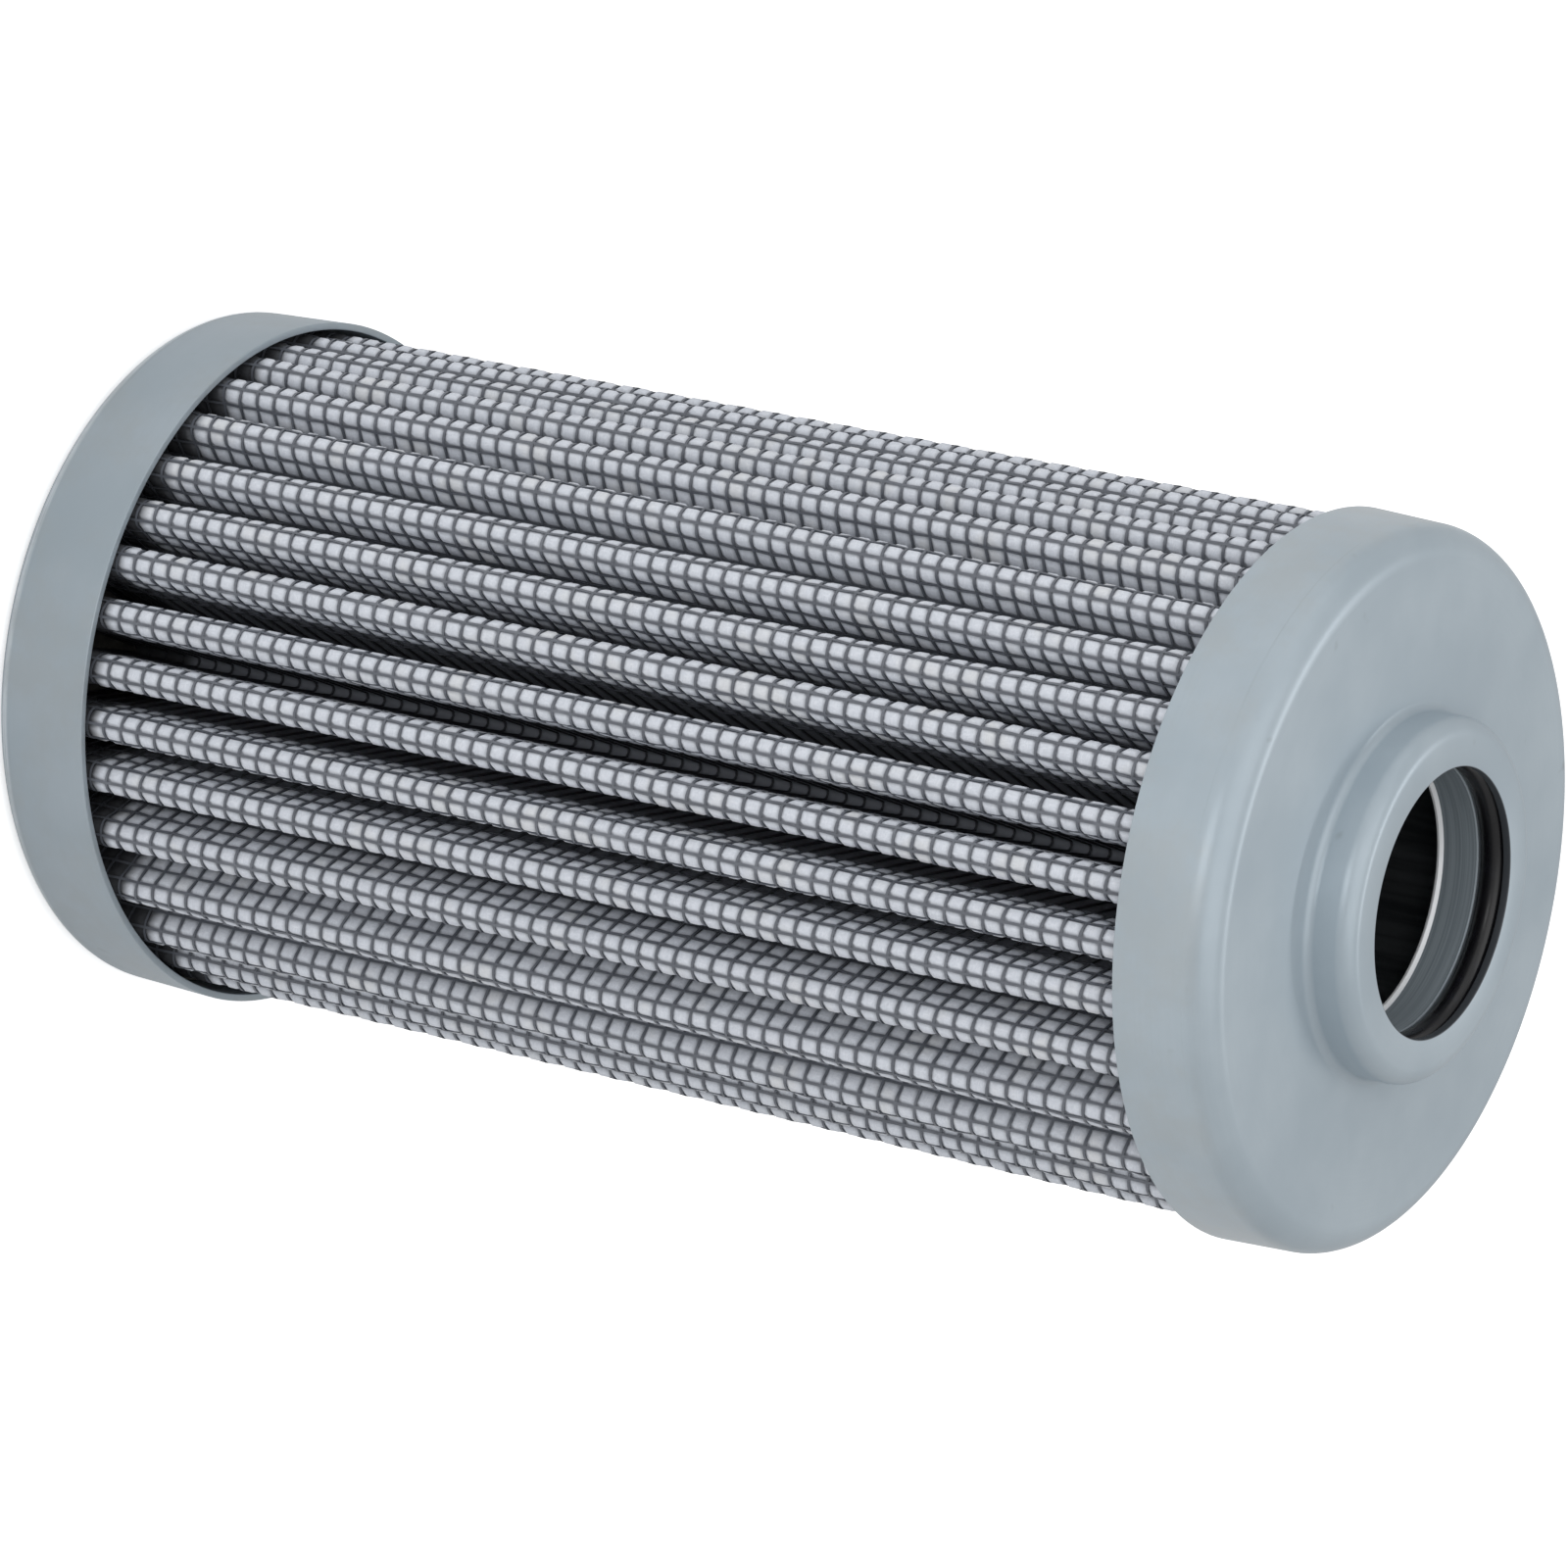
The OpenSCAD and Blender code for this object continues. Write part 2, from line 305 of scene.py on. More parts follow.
@dataclass(frozen=True)
class ZincSheet:
    """Matte zinc plating on drawn sheet: cloudy, faintly streaked, a little worn at the edges.

    The corner is the height at which the drawn corner ends. A crease runs there, and below it a paler band
    is painted highlight. The cut lip of the bore is darkened with painted shade.
    """

    corner: float
    skirt_r: float
    bore_r: float
    name: str = "matte_zinc_sheet"
    warm: tuple = colour(172, 179, 182)
    # painted shade: the dark colour of the bore's cut lip
    cut: tuple = colour(70, 74, 79)
    pale: tuple = colour(178, 190, 198)
    deep: tuple = colour(167, 180, 189)
    stain: tuple = colour(128, 135, 136)
    # painted highlight: the pale band below the corner's crease
    corner_highlight: tuple = colour(226, 232, 236)
    corner_highlight_amount: float = 0.0
    metallic: float = 0.2
    crease_wander: float = 0.16
    crease_width: float = 0.1291
    corner_highlight_place: float = 0.62
    corner_highlight_width: float = 0.378

    def material(self) -> bpy.types.Material:
        """Builds the finish's nodes.

        Returns:
            The finish as a material.
        """
        shader = Shader(self.name)
        clouds = shader.noise(shader.place(), 90.0, 4.0, 0.55)
        fine = shader.noise(shader.place(), 2600.0, 2.0, 0.6)
        along = shader.round_place(3.0, 5.2, 5.2)
        streaks = shader.noise(along, 1.0, 3.0, 0.6)
        specks = shader.noise(shader.place(), 420.0, 2.0, 0.4).between(0.72, 0.80)
        base = shader.blend(clouds.between(0.3, 0.7), self.deep, self.pale)
        base = shader.blend(streaks.between(0.35, 0.75) * 0.18, base, self.deep)
        base = shader.blend(specks * 0.35, base, self.stain)
        edge = shader.height() - self.corner + fine * self.crease_wander
        broken = shader.noise(along, 0.6, 3.0, 0.6).between(0.5, 0.75)
        base = shader.blend(edge.near_zero(self.crease_width) * broken * 0.3, base, self.stain)
        # painted highlight: a pale band on the drawn corner
        corner_highlight_band = (shader.height() - self.corner * self.corner_highlight_place).near_zero(self.corner_highlight_width)
        base = shader.blend(corner_highlight_band * streaks.between(0.2, 0.5) * self.corner_highlight_amount, base, self.corner_highlight)
        handled = shader.from_axis().between(self.skirt_r - 0.6, self.skirt_r - 0.2)
        spots = shader.noise(shader.place(), 150.0, 5.0, 0.7).between(0.42, 0.66)
        base = shader.blend(handled * spots * 0.5, base, self.warm)
        # painted shade darkens the cut lip of the bore
        lip = shader.from_axis().between(self.bore_r + 0.02, self.bore_r + 0.1)
        base = shader.blend(lip, self.cut, base)
        rough = 0.29 + clouds * 0.06 + streaks * 0.04 + fine * 0.03
        normal = shader.bump(fine * 0.5 + streaks * 0.3, 0.2, 0.00001)
        return shader.dress(base_color=base, roughness=rough, metallic=self.metallic, normal=normal)


@dataclass(frozen=True)
class TurnedSteel:
    """Zinc-plated turned steel with fine lathe rings, with a painted highlight lightening its lower mouth.
    """

    mouth: float
    name: str = "turned_zinc_steel"
    pale: tuple = colour(166, 177, 184)
    deep: tuple = colour(140, 151, 159)
    # painted highlight on the lower mouth of the bore
    mouth_highlight: tuple = colour(246, 248, 250)

    def material(self) -> bpy.types.Material:
        """Builds the finish's nodes.

        Returns:
            The finish as a material.
        """
        shader = Shader(self.name)
        rings = shader.noise(shader.round_place(0.6, 9.0, 9.0), 1.0, 2.0, 0.5)
        clouds = shader.noise(shader.place(), 160.0, 3.0, 0.5)
        base = shader.blend(rings.between(0.3, 0.7), self.deep, self.pale)
        base = shader.blend(clouds.between(0.35, 0.75) * 0.3, base, self.deep)
        # painted highlight: the lower mouth is lightened
        base = shader.blend(shader.height().between(self.mouth, self.mouth + 0.06), self.mouth_highlight, base)
        rough = 0.34 + rings * 0.12
        normal = shader.bump(rings, 0.3, 0.00001)
        return shader.dress(base_color=base, roughness=rough, metallic=0.2, normal=normal)


@dataclass(frozen=True)
class SealRubber:
    """Smooth black nitrile rubber with a film of oil and a little dust."""

    name: str = "seal_rubber"
    black: tuple = colour(22, 22, 25)
    dusty: tuple = colour(36, 37, 46)

    def material(self) -> bpy.types.Material:
        """Builds the finish's nodes.

        Returns:
            The finish as a material.
        """
        shader = Shader(self.name)
        dust = shader.noise(shader.place(), 900.0, 4.0, 0.65)
        smear = shader.noise(shader.round_place(2.0, 1.2, 1.2), 1.0, 2.0, 0.5)
        base = shader.blend(dust.between(0.5, 0.8) * 0.6, self.black, self.dusty)
        rough = 0.24 + smear.between(0.3, 0.8) * 0.22
        normal = shader.bump(dust, 0.2, 0.00003)
        return shader.dress(base_color=base, roughness=rough, metallic=0.0, normal=normal)


@dataclass(frozen=True)
class CoatedWire:
    """Dark epoxy coating on woven wire, thicker and glossier where it gathers, darker deep in the pleats by
    painted shade.
    """

    name: str = "coated_wire"
    dark: tuple = colour(100, 104, 112)
    worn: tuple = colour(134, 138, 146)
    # painted shade: the wires' colour deep in the pleats
    deep: tuple = colour(62, 64, 70)

    def material(self) -> bpy.types.Material:
        """Builds the finish's nodes.

        Returns:
            The finish as a material.
        """
        shader = Shader(self.name)
        patches = shader.noise(shader.place(), 380.0, 3.0, 0.6)
        fine = shader.noise(shader.place(), 6000.0, 2.0, 0.5)
        base = shader.blend(patches.between(0.45, 0.8) * 0.7, self.dark, self.worn)
        # painted shade darkens the wires deep in the pleats
        base = shader.blend(shader.out_of_fold_shade(), self.deep, base)
        rough = 0.36 + fine * 0.16
        normal = shader.bump(fine, 0.3, 0.00002)
        return shader.dress(base_color=base, roughness=rough, metallic=0.0, normal=normal)


@dataclass(frozen=True)
class Fleece:
    """White spun fleece with tiny crossing fibres; painted shade greys it along the wires, deep in the
    pleats and next to the closed cap's rim.
    """

    rim: float
    name: str = "white_fleece"
    white: tuple = colour(228, 232, 240)
    shade: tuple = colour(210, 215, 224)
    warm: tuple = colour(222, 221, 217)
    # painted shade: the fleece's colour along the wires
    pressed: tuple = colour(152, 156, 164)
    # painted shade: the fleece's colour deep in the pleats
    deep: tuple = colour(138, 142, 151)
    # painted shade: the fleece's colour next to the closed cap's rim
    rim_shade: tuple = colour(66, 68, 72)

    def material(self) -> bpy.types.Material:
        """Builds the finish's nodes.

        Returns:
            The finish as a material.
        """
        shader = Shader(self.name)
        one = shader.noise(shader.stretched((1.0, 1.0, 3.6)), 2600.0, 3.0, 0.7)
        other = shader.noise(shader.stretched((3.4, 3.4, 1.0)), 2300.0, 3.0, 0.7)
        patches = shader.noise(shader.place(), 260.0, 2.0, 0.5)
        fibres = one.largest(other)
        base = shader.blend(fibres.between(0.4, 0.75), self.shade, self.white)
        base = shader.blend(patches.between(0.52, 0.72) * 0.35, base, self.warm)
        # painted shade along the wires, where the swell mark is low
        base = shader.blend(shader.marked("swell").between(-0.1, 1.0), self.pressed, base)
        # painted shade deep in the pleats
        base = shader.blend(shader.out_of_fold_shade(), self.deep, base)
        # painted shade next to the closed cap's rim, with a wavering edge
        rim_shade_edge = patches * 1.2 + self.rim
        base = shader.blend(shader.height().between(rim_shade_edge - 0.9, rim_shade_edge + 0.4), self.rim_shade, base)
        normal = shader.bump(fibres, 0.5, 0.00006)
        return shader.dress(base_color=base, roughness=0.86, metallic=0.0, normal=normal)


@dataclass(frozen=True)
class GlassFibre:
    """Glass-fibre mat, a soft off-white felt."""

    name: str = "glass_fibre_mat"
    white: tuple = colour(236, 236, 230)
    shade: tuple = colour(214, 213, 205)

    def material(self) -> bpy.types.Material:
        """Builds the finish's nodes.

        Returns:
            The finish as a material.
        """
        shader = Shader(self.name)
        fibres = shader.noise(shader.place(), 3200.0, 4.0, 0.75)
        base = shader.blend(fibres.between(0.35, 0.7), self.shade, self.white)
        normal = shader.bump(fibres, 0.5, 0.00005)
        return shader.dress(base_color=base, roughness=0.9, metallic=0.0, normal=normal)


@dataclass(frozen=True)
class PottingAdhesive:
    """Cured potting adhesive, dark grey and slightly glossy, with shallow flow marks."""

    name: str = "potting_adhesive"
    pale: tuple = colour(92, 90, 86)
    deep: tuple = colour(66, 64, 62)

    def material(self) -> bpy.types.Material:
        """Builds the finish's nodes.

        Returns:
            The finish as a material.
        """
        shader = Shader(self.name)
        flow = shader.noise(shader.stretched((1.0, 1.0, 0.35)), 700.0, 3.0, 0.5)
        base = shader.blend(flow.between(0.3, 0.7), self.deep, self.pale)
        rough = 0.32 + flow * 0.18
        normal = shader.bump(flow, 0.4, 0.00012)
        return shader.dress(base_color=base, roughness=rough, metallic=0.0, normal=normal)


@dataclass(frozen=True)
class CoreSteel:
    """Rolled steel of the core tube, oily and darker than the caps."""

    name: str = "core_tube_steel"
    pale: tuple = colour(120, 124, 128)
    deep: tuple = colour(82, 86, 90)

    def material(self) -> bpy.types.Material:
        """Builds the finish's nodes.

        Returns:
            The finish as a material.
        """
        shader = Shader(self.name)
        rolled = shader.noise(shader.stretched((1.0, 1.0, 0.06)), 900.0, 3.0, 0.6)
        oil = shader.noise(shader.place(), 140.0, 3.0, 0.5)
        base = shader.blend(rolled.between(0.3, 0.7), self.deep, self.pale)
        rough = 0.34 + oil * 0.2
        normal = shader.bump(rolled, 0.2, 0.00001)
        return shader.dress(base_color=base, roughness=rough, metallic=0.85, normal=normal)


class Bench:
    """Modelling steps that all sub-assemblies share, done with Blender's own operators."""

    @staticmethod
    def clear_selection() -> None:
        """Leaves nothing selected, so that an operator acts on the new piece alone."""
        for item in bpy.context.view_layer.objects:
            item.select_set(False)

    @staticmethod
    def pick(*pieces: bpy.types.Object) -> None:
        """Selects some pieces alone.

        Args:
            pieces: The pieces, of which the first one becomes active.
        """
        Bench.clear_selection()
        for piece in pieces:
            piece.select_set(True)
        bpy.context.view_layer.objects.active = pieces[0]

    @staticmethod
    def grid(name: str, columns: int, rows: int,
             shape: Callable[[Points, Points], Points]) -> bpy.types.Object:
        """Adds a grid and lays it on a surface.

        Args:
            name: The new piece's name.
            columns: Cells along the first direction.
            rows: Cells along the second direction.
            shape: Gives points in millimetres for the vertices' numbers in both directions.

        Returns:
            The new piece.
        """
        Bench.clear_selection()
        bpy.ops.mesh.primitive_grid_add(x_subdivisions=columns, y_subdivisions=rows, size=2.0)
        piece = bpy.context.active_object
        piece.name = name
        points = np.empty(len(piece.data.vertices) * 3)
        piece.data.vertices.foreach_get("co", points)
        places = (points.reshape(-1, 3)[:, :2] + 1.0) / 2.0 * (columns, rows)
        shaped = shape(*np.rint(places).astype(int).T) * MM
        piece.data.vertices.foreach_set("co", shaped.reshape(-1))
        piece.data.update()
        return piece

    @staticmethod
    def mark(piece: bpy.types.Object, name: str, values: Points) -> None:
        """Writes one number on each vertex, for a finish to read.

        Args:
            piece: The piece.
            name: The attribute's name.
            values: The numbers, in the order of the vertices.
        """
        attribute = piece.data.attributes.new(name, "FLOAT", "POINT")
        attribute.data.foreach_set("value", values.astype(np.float32))

    @staticmethod
    def edit(piece: bpy.types.Object, *steps: Callable[[], Any]) -> None:
        """Runs edit-mode operators on everything in one piece.

        Args:
            piece: The piece.
            steps: Functions that run in turn with all vertices selected.
        """
        Bench.pick(piece)
        bpy.ops.object.mode_set(mode="EDIT")
        bpy.ops.mesh.select_mode(type="VERT")
        bpy.ops.mesh.select_all(action="SELECT")
        for step in steps:
            step()
        bpy.ops.object.mode_set(mode="OBJECT")

    @staticmethod
    def weld() -> None:
        """Joins vertices that lie in one place."""
        bpy.ops.mesh.remove_doubles(threshold=WELD_REACH * MM)

    @staticmethod
    def close_ends() -> None:
        """Fills open ends."""
        bpy.ops.mesh.fill_holes(sides=0)

    @staticmethod
    def face_outward() -> None:
        """Turns all faces outward."""
        bpy.ops.mesh.normals_make_consistent(inside=False)

    @staticmethod
    def join(pieces: list[bpy.types.Object], name: str) -> bpy.types.Object:
        """Joins pieces into one.

        Args:
            pieces: The pieces, of which the first one stays.
            name: The joined piece's name.

        Returns:
            The joined piece.
        """
        Bench.pick(*pieces)
        bpy.ops.object.join()
        pieces[0].name = name
        return pieces[0]

    @staticmethod
    def repeat_up(piece: bpy.types.Object, count: int, step: float, welded: bool) -> None:
        """Repeats a piece upward and applies the modifier.

        Args:
            piece: The piece.
            count: How many times it stands there in the end.
            step: The distance from one to the next in millimetres.
            welded: Whether neighbours are joined where they meet.
        """
        Bench.pick(piece)
        array = piece.modifiers.new("rows", "ARRAY")
        array.count = count
        array.use_relative_offset = False
        array.use_constant_offset = True
        array.constant_offset_displace = (0.0, 0.0, step * MM)
        array.use_merge_vertices = welded
        array.merge_threshold = WELD_REACH * MM
        bpy.ops.object.modifier_apply(modifier=array.name)

    @staticmethod
    def smooth(piece: bpy.types.Object, angle: float) -> None:
        """Shades a piece smooth, but for edges sharper than an angle in degrees."""
        Bench.pick(piece)
        bpy.ops.object.shade_smooth_by_angle(angle=math.radians(angle))

    @staticmethod
    def hand_over(piece: bpy.types.Object, finish: bpy.types.Material, slot: str, *nodes: str) -> None:
        """Dresses a finished piece, fixes it to the body and hides the CAD nodes that it stands for.

        Args:
            piece: The piece.
            finish: Its material.
            slot: The name meant for its material slot; not used.
            nodes: The CAD nodes that it replaces.
        """
        piece.data.materials.clear()
        piece.data.materials.append(finish)
        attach(piece, "root")
        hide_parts(*nodes)
        piece.data.calc_loop_triangles()
        LOG.info("%s: %d triangles", piece.name, len(piece.data.loop_triangles))


def polar(radius: Any, degrees: Any) -> Points:
    """Points at a distance and an angle from the origin, as rows of x and y."""
    turn = np.radians(degrees)
    return np.stack([radius * np.cos(turn), radius * np.sin(turn)], axis=-1)


def arc(centre: tuple[float, float], radius: float, start: float, end: float, steps: int) -> list[tuple]:
    """Points along an arc of a section.

    Args:
        centre: Distance from the axis and height of the arc's centre, in millimetres.
        radius: Radius in millimetres.
        start: Angle of the first point in degrees.
        end: Angle of the last point in degrees.
        steps: Straight pieces between them.

    Returns:
        Pairs of distance from the axis and height.
    """
    turns = np.linspace(start, end, steps + 1)
    return [tuple(np.array(centre) + polar(radius, turn)) for turn in turns]


@dataclass
class Element:
    """The driving sizes of the element, in millimetres, as in the part's source."""

    cap_d: float = 47.5
    body_l: float = 94.8
    sheet: float = 0.5
    open_skirt: float = 6.8
    closed_skirt: float = 7.7
    open_corner: float = 2.0
    closed_corner: float = 1.4
    flare: float = 0.2
    bore_d: float = 17.5
    hub_h: float = 3.2
    hub_corner: float = 1.2
    hub_root: float = 0.6
    seal_section: float = 1.8
    seal_grip: float = 0.2
    guide_l: float = 3.0
    carrier_wall: float = 0.9
    land: float = 0.2
    land_top: float = 0.5
    fit: float = 0.05
    edge: float = 0.08

    @property
    def cap_r(self) -> float:
        """Radius of a cap at its rim."""
        return self.cap_d / 2

    @property
    def face_r(self) -> float:
        """Radius of a cap at its corner."""
        return self.cap_r - self.flare

    @property
    def bore_r(self) -> float:
        """Radius of the bore."""
        return self.bore_d / 2

    @property
    def hub_top(self) -> float:
        """Height of the hub's top."""
        return self.body_l + self.hub_h

    @property
    def seal_r(self) -> float:
        """Radius to the middle of the sealing ring's section."""
        return self.bore_r - self.seal_grip + self.seal_section / 2

    @property
    def seat_r(self) -> float:
        """Radius of the sealing ring's seat."""
        return self.seal_r + self.seal_section / 2 + self.fit

    @property
    def carrier_r(self) -> float:
        """Outer radius of the guide ring."""
        return self.seat_r + self.carrier_wall

    @property
    def hub_r(self) -> float:
        """Outer radius of the hub."""
        return self.carrier_r + self.fit + self.sheet

    @property
    def seat_z(self) -> float:
        """Height of the seat under the sealing ring."""
        return self.hub_top - self.sheet - self.seal_section - 2 * self.fit

    @property
    def carrier_z(self) -> float:
        """Height of the guide ring's lower mouth."""
        return self.seat_z - self.guide_l


@dataclass
class TurnedPiece:
    """A closed section that is spun round the axis."""

    name: str
    section: list[tuple]
    finish: bpy.types.Material
    slot: Slot
    node: str
    steps: int = 192
    crisp: float = 32.0

    def build(self) -> None:
        """Adds the section as a ring of vertices, spins it and closes the seam."""
        Bench.clear_selection()
        bpy.ops.mesh.primitive_circle_add(vertices=len(self.section), radius=1.0, fill_type="NOTHING")
        piece = bpy.context.active_object
        piece.name = self.name
        for vertex, (radius, height) in zip(piece.data.vertices, self.section):
            vertex.co = (radius * MM, 0.0, height * MM)
        Bench.edit(piece, self._spin, Bench.weld, Bench.face_outward)
        Bench.smooth(piece, self.crisp)
        Bench.hand_over(piece, self.finish, self.slot.value, self.node)

    def _spin(self) -> None:
        """Spins the section through a full turn."""
        bpy.ops.mesh.spin(steps=self.steps, angle=math.tau, center=(0.0, 0.0, 0.0),
                          axis=(0.0, 0.0, 1.0))


@dataclass
class Caps:
    """Both drawn caps, the guide ring and the sealing ring."""

    size: Element
    open_finish: bpy.types.Material
    closed_finish: bpy.types.Material
    ring_finish: bpy.types.Material
    rubber_finish: bpy.types.Material
    middle_r: float = 0.001
    face_rings: tuple = (8.0, 16.0)

    def rim(self, height: float, hangs: bool) -> list[tuple]:
        """The sheet's cut edge at a skirt's rim, with its outer and inner edges rounded.

        Args:
            height: The rim's height.
            hangs: Whether the skirt hangs down, so that the rim looks down.

        Returns:
            Points from the outer wall to the inner wall.
        """
        e = self.size.edge
        outer, inner = self.size.cap_r, self.size.cap_r - self.size.sheet
        way = -1 if hangs else 1
        middle = height - way * e
        return (arc((outer - e, middle), e, 0, way * 90, 3)
                + arc((inner + e, middle), e, way * 90, way * 180, 3))

    def closed_section(self) -> list[tuple]:
        """Section of the closed cap.

        Returns:
            Points from the middle of its face round the sheet and back.
        """
        s = self.size
        centre = (s.face_r - s.closed_corner, s.closed_corner)
        return ([(radius, 0.0) for radius in (self.middle_r, *self.face_rings)]
                + arc(centre, s.closed_corner, -90, 0, 12) + self.rim(s.closed_skirt, False)
                + arc(centre, s.closed_corner - s.sheet, 0, -90, 8) + [(self.middle_r, s.sheet)])

    def open_section(self) -> list[tuple]:
        """Section of the open cap.

        Returns:
            Points from the lip over hub, face and skirt and back inside.
        """
        s = self.size
        brow = (s.hub_r - s.hub_corner, s.hub_top - s.hub_corner)
        root = (s.hub_r + s.hub_root, s.body_l + s.hub_root)
        corner = (s.face_r - s.open_corner, s.body_l - s.open_corner)
        lip = (s.bore_r + s.edge, s.hub_top - s.edge)
        return ([(s.bore_r, s.hub_top - s.edge)] + arc(lip, s.edge, 180, 90, 3)[1:]
                + arc(brow, s.hub_corner, 90, 0, 12) + arc(root, s.hub_root, 180, 270, 8)
                + arc(corner, s.open_corner, 90, 0, 14) + self.rim(s.body_l - s.open_skirt, True)
                + arc(corner, s.open_corner - s.sheet, 0, 90, 8)
                + arc(root, s.hub_root + s.sheet, 270, 180, 8)
                + arc(brow, s.hub_corner - s.sheet, 0, 90, 6) + [(s.bore_r, s.hub_top - s.sheet)])

    def carrier_section(self) -> list[tuple]:
        """Section of the guide ring, with a chamfered land at its lower mouth.

        Returns:
            Points from the mouth up the outer wall and down over the seat.
        """
        s = self.size
        top = s.hub_top - s.sheet - s.fit
        seat, low = s.seat_z, s.carrier_z
        cut = s.hub_corner - s.sheet - 2 * s.fit
        e = s.edge
        wall = s.bore_r + e
        return [(wall, low), (s.carrier_r - e, low), (s.carrier_r, low + e),
                (s.carrier_r, top - cut), (s.carrier_r - cut, top), (s.seat_r + e, top),
                (s.seat_r, top - e), (s.seat_r, seat), (wall + e, seat), (wall, seat - e),
                (wall, low + s.land_top), (wall - s.land, low + s.land_top - s.land),
                (wall - s.land, low + 2 * e)]

    def seal_section(self) -> list[tuple]:
        """Round section of the sealing ring.

        Returns:
            Points round the section.
        """
        s = self.size
        middle = (s.seal_r, s.hub_top - s.sheet - s.fit - s.seal_section / 2)
        return arc(middle, s.seal_section / 2, 0, 360, 24)[:-1]

    def build(self) -> None:
        """Builds the four turned and drawn pieces."""
        for name, section, finish, slot, node in (
            ("closed_cap_shell", self.closed_section(), self.closed_finish, Slot.ZINC, "closed_end_cap"),
            ("open_cap_shell", self.open_section(), self.open_finish, Slot.ZINC, "open_end_cap"),
            ("guide_ring", self.carrier_section(), self.ring_finish, Slot.TURNED, "seal_carrier"),
            ("seal", self.seal_section(), self.rubber_finish, Slot.RUBBER, "sealing_ring"),
        ):
            TurnedPiece(name, section, finish, slot, node).build()


